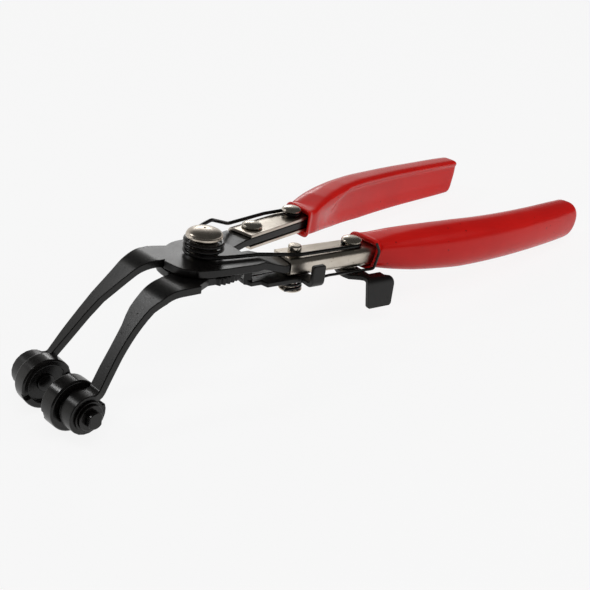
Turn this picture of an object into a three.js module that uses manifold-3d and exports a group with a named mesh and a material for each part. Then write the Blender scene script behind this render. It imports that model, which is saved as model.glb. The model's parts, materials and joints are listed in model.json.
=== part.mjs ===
// Angled hose clamp pliers: two stacked levers on a pivot rivet, cranked jaw arms that end in rolled
// eyes with swivel jaws, pressed channel handles in dipped grips, an opening spring and a ratchet pawl.
// Millimetres, +Z up. The pliers are drawn in their own plane, with the pivot axis upright and the
// handles towards +X, and are then tilted until jaws and grips stand on the ground at Z = 0.
// The far side is +Y. The upper lever joins the far jaw to the near handle, the lower lever the others.
import * as THREE from "three";
import { mergeVertices } from "three/addons/utils/BufferGeometryUtils.js";
import Module from "manifold-3d";

const wasm = await Module();
wasm.setup();

// Clearances and cutting
const fit_gap = 0.3;
const seam_gap = 0.15;
const overrun = 1.0;

// Levers
const plate = 2.9;
const hub_radius = 14.6;
const pivot_shank_radius = 4.9;
const corner_ease = 0.8;
// Hub outline from the jaw arm's root round to the tang, in shares of hub_radius
const hub_front_shares = [
  [-1.09, 0.1], [-1.08, -0.01], [-1.05, -0.29], [-0.97, -0.55], [-0.78, -0.73],
  [-0.74, -0.8], [-0.575, -0.863], [-0.25, -0.96], [0.17, -1.04], [0.82, -1.15],
];
const hub_neck_angle = 1.83;
const hub_neck_share = [-0.48, 0.863];
const hub_neck_corner_share = 1.014;
const hub_neck_run = 2.2;

// Jaw arms
const jaw_reach = 58.1;
const jaw_drop = 35.0;
const arm_slope = Math.PI / 4;
const arm_bend_radius = 11.0;
const arm_root_reach = 13.6;
const eye_radius = 6.9;
const eye_wall = 2.1;
const eye_bend_radius = 3.6;
const eye_inner = 12.6;
const eye_outer = 18.4;
const eye_slot_angle = 0.42;
const jaw_splay = 0.052;
// Each row: share of the way from the root to the eye, share of eye_outer inside, and outside
const far_arm_shares = [
  [0, 0.104, 0.824], [0.076, 0.136, 0.835], [0.182, 0.24, 0.81], [0.317, 0.417, 0.845],
  [0.47, 0.598, 0.903], [0.593, 0.647, 0.908], [0.728, 0.66, 0.897], [0.874, 0.678, 0.845],
  [0.95, 0.683, 0.9], [1, 0.685, 1],
];
const near_arm_shares = [
  [0, 0.125, 0.887], [0.076, 0.141, 0.877], [0.184, 0.23, 0.856], [0.297, 0.23, 0.814], [0.369, 0.23, 0.71],
  [0.436, 0.25, 0.689], [0.519, 0.369, 0.701], [0.571, 0.417, 0.72], [0.649, 0.484, 0.762],
  [0.76, 0.566, 0.859], [0.883, 0.676, 0.97], [0.94, 0.685, 1], [1, 0.685, 1],
];

// Swivel jaws
const jaw_half_gap = 5.1;
const jaw_radius = 9.1;
const jaw_thickness = 6.3;
const jaw_edge = 0.5;
const jaw_recess_radius = 6.9;
const jaw_recess_depth = 1.7;
const jaw_slot_width = 2.6;
const jaw_slot_depth = 1.3;
const jaw_slot_turn = 0.38;
const jaw_collar_radius = 5.9;
const jaw_shank_end = 2.0;
const clip_radius = 5.3;
const clip_thickness = 0.7;
const swivel_pin_radius = 2.0;
const swivel_head_radius = 3.1;
const swivel_head_height = 0.9;
const swivel_tail_radius = 2.9;
const swivel_tail_flat = 2.3;
const swivel_tail_length = 2.0;

// Handles: a straight channel, then a bend outwards and a long curve back to the pliers' length
const handle_angle = 0.151;
const handle_offset = 8.0;
const near_handle_level = -1.1;
const far_handle_level = -0.2;
const channel_front = 29.2;
const channel_half_width = 6.0;
const channel_sheet = 1.2;
const channel_bend = 1.9;
// How far a channel is deeper below its tang than above it, at its front and inside its grip
const near_channel_belly = [0.5, 1.4];
const far_channel_belly = [0.0, 0.1];
const straight_end = 68.6;
const handle_end_x = 187.5;
const handle_end_y = 34.6;
const handle_kick = 0.4;
const kick_reach = 30.0;
const tail_reach = 63.0;
const tail_turn = -0.015;
const channel_end_share = 0.93;
const flared_half_height = 5.2;
const flared_half_width = 4.2;
const flare_share = 0.2;

// Grips: each mouth has its place along the handle, its slant outwards and its lean upwards
const near_mouth = [66.0, 0.17, 0.26];
const far_mouth = [64.9, 0.25, 0.06];
const grip_half_heights = [5.2, 7.4, 9.2, 9.7, 9.5, 9.3, 9.0, 8.7, 8.4];
const near_grip_sags = [0, 0, 0.2, 0.5, 0.6, 0.6, 0.5, 0.3, 0.2];
const far_grip_sags = [0, 0, 0.3, 0.8, 1.1, 1.2, 1.3, 1.2, 1.1];
const grip_half_widths = [7.2, 7.4, 7.6, 7.6, 7.4, 7.2, 7.0, 6.8, 6.3];
const grip_corner_powers = [4.4, 3.4, 2.9, 2.7, 2.7, 2.8, 2.9, 3, 3];
const grip_place_shares = [0, 0.09, 0.24, 0.36, 0.48, 0.6, 0.74, 0.87, 0.97];
const grip_end_round = 2.8;
const grip_end_share = 0.986;
const grip_end_lean = 0.25;
const grip_lean_share = 0.8;
// Each row: share of the curve, share of the hollow's depth, share of the half height that it reaches
const grip_hollow_shares = [
  [0.02, 0, 0.4], [0.1, 0.45, 0.55], [0.22, 1, 0.8], [0.48, 1, 0.82], [0.74, 0.8, 0.84], [0.9, 0.62, 0.84],
];
const grip_hollow_depth = 1.9;
const grip_lip = 0.6;
const grip_lip_length = 1.6;

// Rivets
const front_rivet_at = 36.2;
const rear_rivet_at = 60.8;
const rivet_radius = 2.4;
const rivet_head_radius = 4.1;
const rivet_head_height = 1.9;
const rivet_tail_radius = 3.4;
const rivet_tail_height = 1.1;

// Pivot rivet
const pivot_head_radius = 6.65;
const pivot_head_rim = 1.1;
const pivot_dome = 2.3;
const pivot_dimple_radius = 0.6;
const pivot_tail_radius = 7.0;
const pivot_tail_height = 1.6;
const pivot_washer_radius = 8.6;
const pivot_washer_thickness = 0.9;

// Opening spring: wound round the pivot rivet, one leg hooked round each rear rivet
const spring_wire = 1.45;
const spring_turns = 2.375;
const spring_start_angle = -1.815;
const spring_pitch = 1.9;
const spring_coil_radius = 6.7;
const spring_steps_per_turn = 8;
const wire_sides = 5;
const spring_hook_angle = 4.6;
const near_leg_step_out = 0.9;
const near_leg_post_out = 3.7;
const near_leg_post_rise = 0.15;
const far_leg_rise = 0.4;
const far_leg_first_at = 10.5;
const far_leg_first_out = 2.5;
const far_leg_crest_at = 15.9;
const far_leg_crest_out = 3.2;
const far_leg_out = 6.3;
const far_leg_end_at = 50.0;

// Ratchet
const tooth_count = 9;
const tooth_angle = 0.14;
const tooth_depth = 1.2;
const teeth_start_angle = 0.62;
const teeth_radius = 14.9;

// Pawl, its pin and its spring; the outline is given along and across the near handle
const pawl_pin_at = 34.1;
const pawl_pin_radius = 1.9;
const pawl_post_radius = 2.5;
const pawl_post_height = 3.3;
const pawl_head_radius = 4.4;
const pawl_head_height = 0.9;
const pawl_sheet = 1.9;
const pawl_nose_angles = [-0.66, -0.73, -0.8];
const pawl_nose_depth = 2.9;
const pawl_front_at = 12.3;
const pawl_inner_out = -3.1;
const pawl_web_out = -6.8;
const pawl_web_front = 16.0;
const pawl_web_rear = 27.0;
const pawl_throat_at = 14.0;
const pawl_throat_out = 3.8;
const pawl_shoulder_at = 19.2;
const pawl_outer_out = 6.6;
const pawl_tab_front = 33.8;
const pawl_tab_rear = 39.3;
const pawl_tab_out = 13.5;
const pawl_tab_height = 8.9;
const pawl_tab_bend = 1.8;
const pawl_spring_wire = 1.1;
const pawl_spring_turns = 2;
const pawl_spring_pitch = 1.42;
const pawl_spring_radius = 3.8;
const pawl_spring_tail = 5.2;
const pawl_spring_rise_at = 46.0;
// Where the pawl spring's long arm runs past the near grip's mouth: rows of along, out, height
const pawl_spring_riser = [
  [61.6, 7.2, -5.9], [65.4, 8.6, -5.6], [66.7, 8.75, -4.9], [67.2, 8.75, -3.8], [68.0, 8.75, 1.6],
  [67.6, 8.7, 3.4], [66.2, 8.5, 5.0],
];

// Release lever
const release_spacer = 1.5;
const release_spacer_radius = 3.2;
const release_sheet = 1.8;
const release_front = 55.6;
const release_half_width = 4.2;
const release_neck_out = 9.9;
const release_tab_out = 13.0;
const release_tab_front = 61.3;
const release_tab_low_front = 62.9;
const release_tab_rear = 74.6;
const release_tab_height = 12.8;
const release_tab_bend = 1.5;
const release_tab_corner = 4.0;

const levels = {
  upper_bottom: seam_gap,
  upper_top: seam_gap + plate,
  lower_top: -seam_gap,
  lower_bottom: -seam_gap - plate,
};
const channel_half_height = plate / 2 + fit_gap + channel_sheet;
const pawl_top = channelBottom(-1, pawl_tab_rear) - fit_gap;
const pawl_bottom = pawl_top - pawl_sheet;
const nose_top = levels.lower_top - fit_gap;
const eye_mid_radius = eye_radius - eye_wall / 2;
const eye_bore = eye_radius - eye_wall;
const tang_step_start = hub_radius + plate;
const tang_step_end = channel_front - plate;
const release_top = channelBottom(-1, rear_rivet_at) - release_spacer - 2 * fit_gap;
const release_bottom = release_top - release_sheet;

const finishes = {
  black: { color: 0x2b2a2c, roughness: 0.42, metalness: 0.75 },
  nickel: { color: 0xb4aa9e, roughness: 0.24, metalness: 1.0 },
  red: { color: 0xb51318, roughness: 0.3, metalness: 0.0 },
};

// Heights along a handle; the far handle's level isn't the near one's

function handleLevel(side) {
  return side < 0 ? near_handle_level : far_handle_level;
}

function channelBelly(side, along) {
  const belly = side < 0 ? near_channel_belly : far_channel_belly;
  const part = (along - channel_front) / (straight_end - channel_front);
  return THREE.MathUtils.lerp(belly[0], belly[1], THREE.MathUtils.clamp(part, 0, 1));
}

function channelTop(side) {
  return handleLevel(side) + channel_half_height;
}

function channelBottom(side, along) {
  return handleLevel(side) - channel_half_height - channelBelly(side, along);
}

function legLevel(side) {
  return channelTop(side) + fit_gap / 2 + spring_wire / 2;
}

function hookedHeadBottom(side) {
  return legLevel(side) + spring_wire / 2 + fit_gap / 2;
}

// Turning three.js geometry into manifold solids and back

function solid(geometry) {
  const bare = geometry.clone();
  bare.deleteAttribute("normal");
  bare.deleteAttribute("uv");
  const merged = mergeVertices(bare);
  const vertProperties = new Float32Array(merged.attributes.position.array);
  const triVerts = new Uint32Array(merged.index.array);
  return new wasm.Manifold(new wasm.Mesh({ numProp: 3, vertProperties, triVerts }));
}

function geometryOf(body) {
  const mesh = body.getMesh();
  const geometry = new THREE.BufferGeometry();
  geometry.setAttribute("position", new THREE.BufferAttribute(mesh.vertProperties, mesh.numProp));
  geometry.setIndex(new THREE.BufferAttribute(mesh.triVerts, 1));
  return geometry;
}

// A closed skin over rings of equal count; cap is the section outline that closes both ends
function skin(rings, caps) {
  const count = rings[0].length;
  const places = rings.flat().flatMap((p) => [p.x, p.y, p.z]);
  const faces = [];
  for (let i = 0; i + 1 < rings.length; i += 1) {
    for (let j = 0; j < count; j += 1) {
      const a = i * count + j;
      const b = i * count + ((j + 1) % count);
      faces.push(a, b, b + count, a, b + count, a + count);
    }
  }
  const last = (rings.length - 1) * count;
  for (const [a, b, c] of THREE.ShapeUtils.triangulateShape(caps[0], [])) {
    faces.push(a, c, b);
  }
  for (const [a, b, c] of THREE.ShapeUtils.triangulateShape(caps[1], [])) {
    faces.push(last + a, last + b, last + c);
  }
  const geometry = new THREE.BufferGeometry();
  geometry.setAttribute("position", new THREE.Float32BufferAttribute(places, 3));
  geometry.setIndex(faces);
  return facingOut(geometry);
}

function facingOut(geometry) {
  const at = geometry.attributes.position;
  const index = geometry.index.array;
  const [a, b, c] = [new THREE.Vector3(), new THREE.Vector3(), new THREE.Vector3()];
  let volume = 0;
  for (let i = 0; i < index.length; i += 3) {
    a.fromBufferAttribute(at, index[i]);
    b.fromBufferAttribute(at, index[i + 1]);
    c.fromBufferAttribute(at, index[i + 2]);
    volume += a.dot(b.cross(c));
  }
  if (volume < 0) {
    for (let i = 0; i < index.length; i += 3) {
      [index[i], index[i + 1]] = [index[i + 1], index[i]];
    }
  }
  return geometry;
}

// Sections carried along stations; a station has a place and the section's two directions
function sweep(stations, sectionAt) {
  const sections = stations.map((_, i) => sectionAt(i).map(([u, v]) => new THREE.Vector2(u, v)));
  const rings = stations.map((station, i) =>
    sections[i].map((q) =>
      station.place.clone().addScaledVector(station.across, q.x).addScaledVector(station.up, q.y),
    ),
  );
  return skin(rings, [sections[0], sections[sections.length - 1]]);
}

function rectangle(width, height, middle = 0) {
  const [w, h] = [width / 2, height / 2];
  return [[middle - w, -h], [middle + w, -h], [middle + w, h], [middle - w, h]];
}

function slab(shape, low, high, segments = 6) {
  const geometry = new THREE.ExtrudeGeometry(shape, {
    depth: high - low,
    bevelEnabled: false,
    curveSegments: segments,
  });
  return geometry.translate(0, 0, low);
}

function shapeOf(points) {
  return new THREE.Shape(points.map(([x, y]) => new THREE.Vector2(x, y)));
}

// A turned piece with its axis along +Z, from pairs of radius and height
function turned(profile, segments = 32) {
  const points = profile.map(([r, z]) => new THREE.Vector2(r, z));
  return new THREE.LatheGeometry(points, segments).rotateX(Math.PI / 2);
}

function rod(radius, low, high, x = 0, y = 0, segments = 32) {
  const geometry = new THREE.CylinderGeometry(radius, radius, high - low, segments);
  return geometry.rotateX(Math.PI / 2).translate(x, y, (low + high) / 2);
}

function ring(inner, outer, low, high, x = 0, y = 0, segments = 32) {
  const profile = [[inner, low], [outer, low], [outer, high], [inner, high], [inner, low]];
  return turned(profile, segments).translate(x, y, 0);
}

// Places on a handle: distance along it, distance outwards from its middle line, height
function onHandle(side, along, out, z = 0) {
  const [c, s] = [Math.cos(handle_angle), Math.sin(handle_angle)];
  const reach = out + handle_offset;
  return new THREE.Vector3(along * c - reach * s, side * (along * s + reach * c), z);
}

function flatOnHandle(side, along, out) {
  const place = onHandle(side, along, out);
  return [place.x, place.y];
}

// Wires: a five sided tube along points, with its own frames so that a coil keeps its section

function tube(points, diameter) {
  const stations = points.map((place, i) => {
    const before = points[Math.max(i - 1, 0)];
    const after = points[Math.min(i + 1, points.length - 1)];
    return { place, along: after.clone().sub(before).normalize() };
  });
  let up = new THREE.Vector3(0, 0, 1);
  for (const station of stations) {
    up = up.clone().addScaledVector(station.along, -up.dot(station.along)).normalize();
    station.up = up;
    station.across = new THREE.Vector3().crossVectors(up, station.along);
  }
  const section = [...Array(wire_sides).keys()].map((k) => {
    const turn = (2 * Math.PI * k) / wire_sides;
    return [(Math.cos(turn) * diameter) / 2, (Math.sin(turn) * diameter) / 2];
  });
  return sweep(stations, () => section);
}

function leastGap(points, diameter) {
  const skip = 2 * diameter;
  let least = Infinity;
  const travelled = [0];
  for (let i = 1; i < points.length; i += 1) {
    travelled.push(travelled[i - 1] + points[i].distanceTo(points[i - 1]));
  }
  for (let i = 0; i < points.length; i += 1) {
    for (let j = i + 1; j < points.length; j += 1) {
      if (travelled[j] - travelled[i] > skip) {
        least = Math.min(least, points[i].distanceTo(points[j]) - diameter);
      }
    }
  }
  return least;
}

// Jaw arms: a strip that runs flat, bends down, straightens and rolls back into an eye

function arcPoints(centre, radius, from, to, steps) {
  return [...Array(steps + 1).keys()].map((i) => {
    const turn = from + ((to - from) * i) / steps;
    const reach = new THREE.Vector2(Math.cos(turn), Math.sin(turn));
    return reach.multiplyScalar(radius).add(centre);
  });
}

// The middle line of the strip in the upright plane, and where its rolled eye begins
function armLine(top) {
  const lean = new THREE.Vector2(-Math.cos(arm_slope), -Math.sin(arm_slope));
  const over = new THREE.Vector2(-Math.sin(arm_slope), Math.cos(arm_slope));
  const eye = new THREE.Vector2(-jaw_reach, -jaw_drop);
  const middle = top - plate / 2;
  const bend_start = new THREE.Vector2(bendStart(middle, lean, eye), middle - arm_bend_radius);
  const bend = arcPoints(bend_start, arm_bend_radius, Math.PI / 2, Math.PI / 2 + arm_slope, 6);
  const reach = eye_bend_radius + eye_mid_radius;
  const back = Math.sqrt(reach * reach - eye_bend_radius * eye_bend_radius);
  const centre = eye.clone().addScaledVector(lean, -back).addScaledVector(over, eye_bend_radius);
  const join = Math.atan2(centre.y - eye.y, centre.x - eye.x);
  const hollow = arcPoints(centre, eye_bend_radius, Math.PI * 1.5 + arm_slope, join + Math.PI, 4);
  const slope = [];
  const slope_steps = 11;
  for (let i = 1; i < slope_steps; i += 1) {
    slope.push(bend[bend.length - 1].clone().lerp(hollow[0], i / slope_steps));
  }
  const roll_end = 2 * Math.PI + arm_slope - eye_slot_angle;
  const roll = arcPoints(eye, eye_mid_radius, join, roll_end, 18).slice(1);
  const root = new THREE.Vector2(-arm_root_reach + corner_ease, middle);
  const line = [root, ...bend, ...slope, ...hollow, ...roll];
  return { line, rolled_from: line.length - roll.length - 1 };
}

// Where the bend starts, so that the straight stretch is aimed at the middle of the eye
function bendStart(middle, lean, eye) {
  const fall = arm_bend_radius * (1 - Math.cos(arm_slope));
  const run = arm_bend_radius * Math.sin(arm_slope);
  return eye.x + ((middle - fall - eye.y) * lean.x) / lean.y + run;
}

function armStations(side, top) {
  const { line, rolled_from } = armLine(top);
  return line.map((q, i) => {
    const before = line[Math.max(i - 1, 0)];
    const after = line[Math.min(i + 1, line.length - 1)];
    const along = after.clone().sub(before).normalize();
    const rolled = i >= rolled_from;
    const way = (-q.x - arm_root_reach) / (jaw_reach - arm_root_reach);
    const share = rolled ? 1 : Math.min(Math.max(way, 0), 1);
    const splay = jaw_splay * share;
    const run = q.x + jaw_reach;
    return {
      share,
      rolled,
      place: new THREE.Vector3(run * Math.cos(splay) - jaw_reach, -side * run * Math.sin(splay), q.y),
      across: new THREE.Vector3(Math.sin(splay), side * Math.cos(splay), 0),
      up: new THREE.Vector3(along.y, 0, -along.x),
    };
  });
}

function shareAt(table, share, column) {
  if (share <= table[0][0]) {
    return table[0][column];
  }
  for (let i = 1; i < table.length; i += 1) {
    if (share <= table[i][0]) {
      const part = (share - table[i - 1][0]) / (table[i][0] - table[i - 1][0]);
      return THREE.MathUtils.lerp(table[i - 1][column], table[i][column], part);
    }
  }
  return table[table.length - 1][column];
}

function jawArm(side, top, table) {
  const stations = armStations(side, top);
  return sweep(stations, (i) => {
    const station = stations[i];
    const inner = eye_outer * shareAt(table, station.share, 1);
    const outer = eye_outer * shareAt(table, station.share, 2);
    const thickness = station.rolled ? eye_wall : plate;
    return rectangle(outer - inner, thickness, (outer + inner) / 2);
  });
}

// Levers

// The outline of a hub with the root of its jaw arm on one side and of its tang on the other
function hubShape(jaw_side, rim, table) {
  const y = (value) => jaw_side * value;
  const root = arm_root_reach + corner_ease;
  const shape = new THREE.Shape();
  shape.moveTo(-root, y(eye_outer * table[0][1] + corner_ease / 2));
  const front = hub_front_shares.map(([x, y_share]) => {
    return new THREE.Vector2(hub_radius * x, y(hub_radius * y_share));
  });
  for (const q of new THREE.SplineCurve(front).getPoints(2 * front.length)) {
    shape.lineTo(q.x, q.y);
  }
  shape.lineTo(...flatOnHandle(-jaw_side, tang_step_start, channel_half_width));
  shape.lineTo(...flatOnHandle(-jaw_side, tang_step_start, fit_gap - channel_half_width));
  shape.lineTo(...flatOnHandle(-jaw_side, hub_radius, fit_gap - channel_half_width));
  for (const [radius, turn] of rim) {
    shape.lineTo(radius * Math.cos(turn), y(radius * Math.sin(turn)));
  }
  shape.lineTo(hub_radius * hub_neck_share[0], y(hub_radius * hub_neck_share[1]));
  shape.lineTo(hub_neck_run - root, y(hub_radius * hub_neck_corner_share));
  shape.lineTo(-root, y(eye_outer * table[0][2] - corner_ease / 2));
  return shape;
}

// The round rims of the two hubs as pairs of radius and angle, the lower one with its ratchet teeth
function plainRim() {
  const steps = 14;
  return [...Array(steps).keys()].map((i) => [hub_radius, (hub_neck_angle * (i + 1)) / steps]);
}

function toothedRim() {
  const root = teeth_radius - tooth_depth;
  const rim = [[root, teeth_start_angle / 3], [root, (2 * teeth_start_angle) / 3]];
  for (let i = 0; i < tooth_count; i += 1) {
    const turn = teeth_start_angle + i * tooth_angle;
    rim.push([root, turn], [teeth_radius, turn + tooth_angle / 4], [teeth_radius, turn + tooth_angle / 2]);
  }
  rim.push([root, teeth_start_angle + tooth_count * tooth_angle]);
  return rim;
}

// The tang steps from the lever's own level to the middle of its channel
function tang(handle_side, top) {
  const middle = top - plate / 2;
  const level = handleLevel(handle_side);
  const narrow = channel_half_width - channel_sheet - 2 * fit_gap;
  const rows = [
    [tang_step_start - plate, middle, channel_half_width],
    [tang_step_start, middle, channel_half_width],
    [tang_step_end, level, channel_half_width],
    [channel_front - 2 * fit_gap, level, channel_half_width],
    [channel_front - fit_gap, level, narrow],
    [rear_rivet_at + rivet_head_radius, level, narrow],
  ];
  const stations = rows.map(([along, height]) => ({
    place: onHandle(handle_side, along, 0, height),
    across: onHandle(handle_side, 0, 1).sub(onHandle(handle_side, 0, 0)),
    up: new THREE.Vector3(0, 0, 1),
  }));
  return sweep(stations, (i) => {
    const outer = rows[i][2];
    const inner = -channel_half_width + fit_gap;
    return rectangle(outer - inner, plate, (outer + inner) / 2);
  });
}

function holes(places) {
  return places.map(([radius, along, side]) => {
    const place = along === null ? new THREE.Vector3() : onHandle(side, along, 0);
    return solid(rod(radius + fit_gap, -jaw_drop, jaw_drop, place.x, place.y));
  });
}

function lever(jaw_side, top, rim, table, drilled) {
  let body = solid(slab(hubShape(jaw_side, rim, table), top - plate, top));
  body = body.add(solid(jawArm(jaw_side, top, table)));
  body = body.add(solid(tang(-jaw_side, top)));
  for (const hole of holes(drilled)) {
    body = body.subtract(hole);
  }
  return geometryOf(body);
}

function upperLever() {
  const drilled = [
    [pivot_shank_radius, null, 0],
    [pawl_pin_radius, pawl_pin_at, -1],
    [rivet_radius, rear_rivet_at, -1],
  ];
  return lever(1, levels.upper_top, plainRim(), far_arm_shares, drilled);
}

function lowerLever() {
  const drilled = [
    [pivot_shank_radius, null, 0],
    [rivet_radius, front_rivet_at, 1],
    [rivet_radius, rear_rivet_at, 1],
  ];
  return lever(-1, levels.lower_top, toothedRim(), near_arm_shares, drilled);
}

// Handles

// The middle line of a handle past its straight stretch, and its directions
function handleCurve(side) {
  const start = onHandle(side, straight_end, 0, handleLevel(side));
  const end = new THREE.Vector3(handle_end_x, side * handle_end_y, handleLevel(side));
  const first = start.clone().add(
    new THREE.Vector3(Math.cos(handle_kick), side * Math.sin(handle_kick), 0).multiplyScalar(kick_reach),
  );
  const second = end.clone().sub(
    new THREE.Vector3(Math.cos(tail_turn), side * Math.sin(tail_turn), 0).multiplyScalar(tail_reach),
  );
  return new THREE.CubicBezierCurve3(start, first, second, end);
}

function curveStation(side, curve, share) {
  const along = curve.getTangentAt(share);
  return {
    share,
    place: curve.getPointAt(share),
    across: new THREE.Vector3(-side * along.y, side * along.x, 0),
    up: new THREE.Vector3(0, 0, 1),
  };
}

function straightStation(side, along) {
  return {
    share: 0,
    along,
    place: onHandle(side, along, 0, handleLevel(side)),
    across: onHandle(side, 0, 1).sub(onHandle(side, 0, 0)),
    up: new THREE.Vector3(0, 0, 1),
  };
}

// Half the width of a channel, and its reach above and below the handle's level
function channelSize(side, station) {
  const part = THREE.MathUtils.smoothstep(station.share, 0, flare_share);
  const below = channel_half_height + channelBelly(side, station.along ?? straight_end);
  return [
    THREE.MathUtils.lerp(channel_half_width, flared_half_width, part),
    THREE.MathUtils.lerp(channel_half_height, flared_half_height, part),
    THREE.MathUtils.lerp(below, flared_half_height, part),
  ];
}

function channelSection(w, above, below) {
  const [s, c] = [channel_sheet, channel_bend];
  const corner = (u, v, radius, from, steps) =>
    arcPoints2(u, v, radius, from, from + Math.PI / 2, steps);
  const [low, high] = [corner(w - c, c - below, c, -Math.PI / 2, 3), corner(w - c, above - c, c, 0, 3)];
  const inner_low = corner(w - c, c - below, c - s, -Math.PI / 2, 2).reverse();
  const inner_high = corner(w - c, above - c, c - s, 0, 2).reverse();
  return [
    [-w, -below], ...low, ...high, [-w, above],
    [-w, above - s], ...inner_high, ...inner_low, [-w, s - below],
  ];
}

function arcPoints2(u, v, radius, from, to, steps) {
  return [...Array(steps + 1).keys()].map((i) => {
    const turn = from + ((to - from) * i) / steps;
    return [u + radius * Math.cos(turn), v + radius * Math.sin(turn)];
  });
}

function channelStations(side) {
  const curve = handleCurve(side);
  const stations = [straightStation(side, channel_front)];
  const steps = 14;
  for (let i = 0; i <= steps; i += 1) {
    stations.push(curveStation(side, curve, (channel_end_share * i) / steps));
  }
  return stations;
}

function channel(side, drilled) {
  const stations = channelStations(side);
  let body = solid(sweep(stations, (i) => channelSection(...channelSize(side, stations[i]))));
  for (const hole of holes(drilled)) {
    body = body.subtract(hole);
  }
  return geometryOf(body);
}

function roundedSection(w, h, corner_power, steps = 24) {
  return [...Array(steps).keys()].map((k) => {
    const turn = (2 * Math.PI * k) / steps;
    const [c, s] = [Math.cos(turn), Math.sin(turn)];
    const power = 2 / corner_power;
    return [Math.sign(c) * Math.abs(c) ** power * w, Math.sign(s) * Math.abs(s) ** power * h];
  });
}

function sizeAlong(values, share) {
  const table = grip_place_shares.map((place, i) => [place, values[i]]);
  return shareAt(table, Math.max(share, 0), 1);
}

// The stations at a mouth are cut on a slant, farther back on the outer side and at the top
function slanted(station, side, slant, lean) {
  const along = onHandle(side, 1, 0).sub(onHandle(side, 0, 0));
  const across = station.across.clone().addScaledVector(along, slant);
  return { ...station, across, up: station.up.clone().addScaledVector(along, lean) };
}

// A grip hangs a little lower than its handle, and towards its end it leans on along the handle
function leaning(side, station) {
  const part = Math.max((station.share - grip_lean_share) / (1 - grip_lean_share), 0);
  const along = station.across.clone().cross(station.up).multiplyScalar(side * grip_end_lean * part);
  const sag = sizeAlong(side < 0 ? near_grip_sags : far_grip_sags, station.share);
  const place = station.place.clone().addScaledVector(station.up, -sag);
  return { ...station, place, up: station.up.clone().add(along) };
}

function gripStations(side, [mouth_at, slant, lean]) {
  const curve = handleCurve(side);
  const length = curve.getLength();
  const lip = { ...slanted(straightStation(side, mouth_at), side, slant, lean), extra: grip_lip };
  const lip_back = {
    ...slanted(straightStation(side, mouth_at + grip_lip_length), side, slant, lean),
    extra: 0,
  };
  const stations = [lip, lip_back];
  const body_end = grip_end_share - grip_end_round / length;
  const steps = 16;
  for (let i = 1; i <= steps; i += 1) {
    stations.push({ ...leaning(side, curveStation(side, curve, (body_end * i) / steps)), extra: 0 });
  }
  const round_steps = 4;
  for (let i = 1; i <= round_steps; i += 1) {
    const turn = ((Math.PI / 2) * i) / (round_steps + 1);
    const share = body_end + (grip_end_round * Math.sin(turn)) / length;
    const station = leaning(side, curveStation(side, curve, share));
    stations.push({ ...station, extra: grip_end_round * (Math.cos(turn) - 1) });
  }
  return stations;
}

// The coating sinks between the channel's two flanges, so the side that faces the other handle is hollow
function gripSection(station) {
  const w = sizeAlong(grip_half_widths, station.share) + station.extra;
  const h = sizeAlong(grip_half_heights, station.share) + station.extra;
  const depth = grip_hollow_depth * shareAt(grip_hollow_shares, station.share, 1);
  const edge = h * shareAt(grip_hollow_shares, station.share, 2);
  return roundedSection(w, h, sizeAlong(grip_corner_powers, station.share)).map(([u, v]) => {
    const sunk = u < 0 ? Math.max(1 - (v / edge) ** 2, 0) : 0;
    return [u + depth * sunk, v];
  });
}

function gripCavity(side, [mouth_at]) {
  const curve = handleCurve(side);
  const stations = [straightStation(side, mouth_at - channel_half_width)];
  const steps = 14;
  for (let i = 0; i <= steps; i += 1) {
    stations.push(curveStation(side, curve, (channel_end_share * i) / steps));
  }
  const end = channel_end_share + (2 * fit_gap) / curve.getLength();
  stations.push(curveStation(side, curve, end));
  return sweep(stations, (i) => {
    const [w, above, below] = channelSize(side, stations[i]).map((size) => size + fit_gap);
    return [[-w, -below], [w, -below], [w, above], [-w, above]];
  });
}

function grip(side, mouth) {
  const stations = gripStations(side, mouth);
  const outside = solid(sweep(stations, (i) => gripSection(stations[i])));
  return geometryOf(outside.subtract(solid(gripCavity(side, mouth))));
}

// Fasteners

function domeProfile(radius, rim, height, steps = 6) {
  const profile = [];
  for (let i = 0; i <= steps; i += 1) {
    const turn = ((Math.PI / 2) * i) / steps;
    profile.push([radius * Math.cos(turn), rim + height * Math.sin(turn)]);
  }
  return profile;
}

function rivet(side, along, low, top) {
  const place = onHandle(side, along, 0);
  const profile = [
    [0, low - rivet_tail_height - fit_gap],
    [rivet_tail_radius, low - rivet_tail_height - fit_gap],
    [rivet_tail_radius, low - fit_gap],
    [rivet_radius, low - fit_gap],
    [rivet_radius, top],
    ...domeProfile(rivet_head_radius, top, rivet_head_height),
  ];
  profile[profile.length - 1][0] = 0;
  return turned(profile, 24).translate(place.x, place.y, 0);
}

const spring_base = levels.upper_top + fit_gap + spring_wire / 2;
const spring_top = spring_base + spring_turns * spring_pitch + spring_wire / 2;
const pivot_head_bottom = spring_top + fit_gap;
const washer_bottom = levels.lower_bottom - fit_gap - pivot_washer_thickness;

function pivotRivet() {
  const low = washer_bottom - fit_gap;
  const rim = pivot_head_bottom + pivot_head_rim;
  const dimple = rim + pivot_dome;
  const dome = domeProfile(pivot_head_radius, rim, pivot_dome, 8).slice(0, -1);
  const profile = [
    [0, low - pivot_tail_height],
    [pivot_tail_radius - corner_ease, low - pivot_tail_height],
    [pivot_tail_radius, low - pivot_tail_height + corner_ease],
    [pivot_tail_radius, low],
    [pivot_shank_radius, low],
    [pivot_shank_radius, pivot_head_bottom],
    [pivot_head_radius - corner_ease / 2, pivot_head_bottom],
    [pivot_head_radius, pivot_head_bottom + corner_ease / 2],
    ...dome,
    [pivot_dimple_radius, dimple],
    [0, dimple - pivot_dimple_radius],
  ];
  return turned(profile, 40);
}

function pivotWasher() {
  const top = levels.lower_bottom - fit_gap;
  return ring(pivot_shank_radius + fit_gap, pivot_washer_radius, washer_bottom, top);
}

// Opening spring

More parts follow.
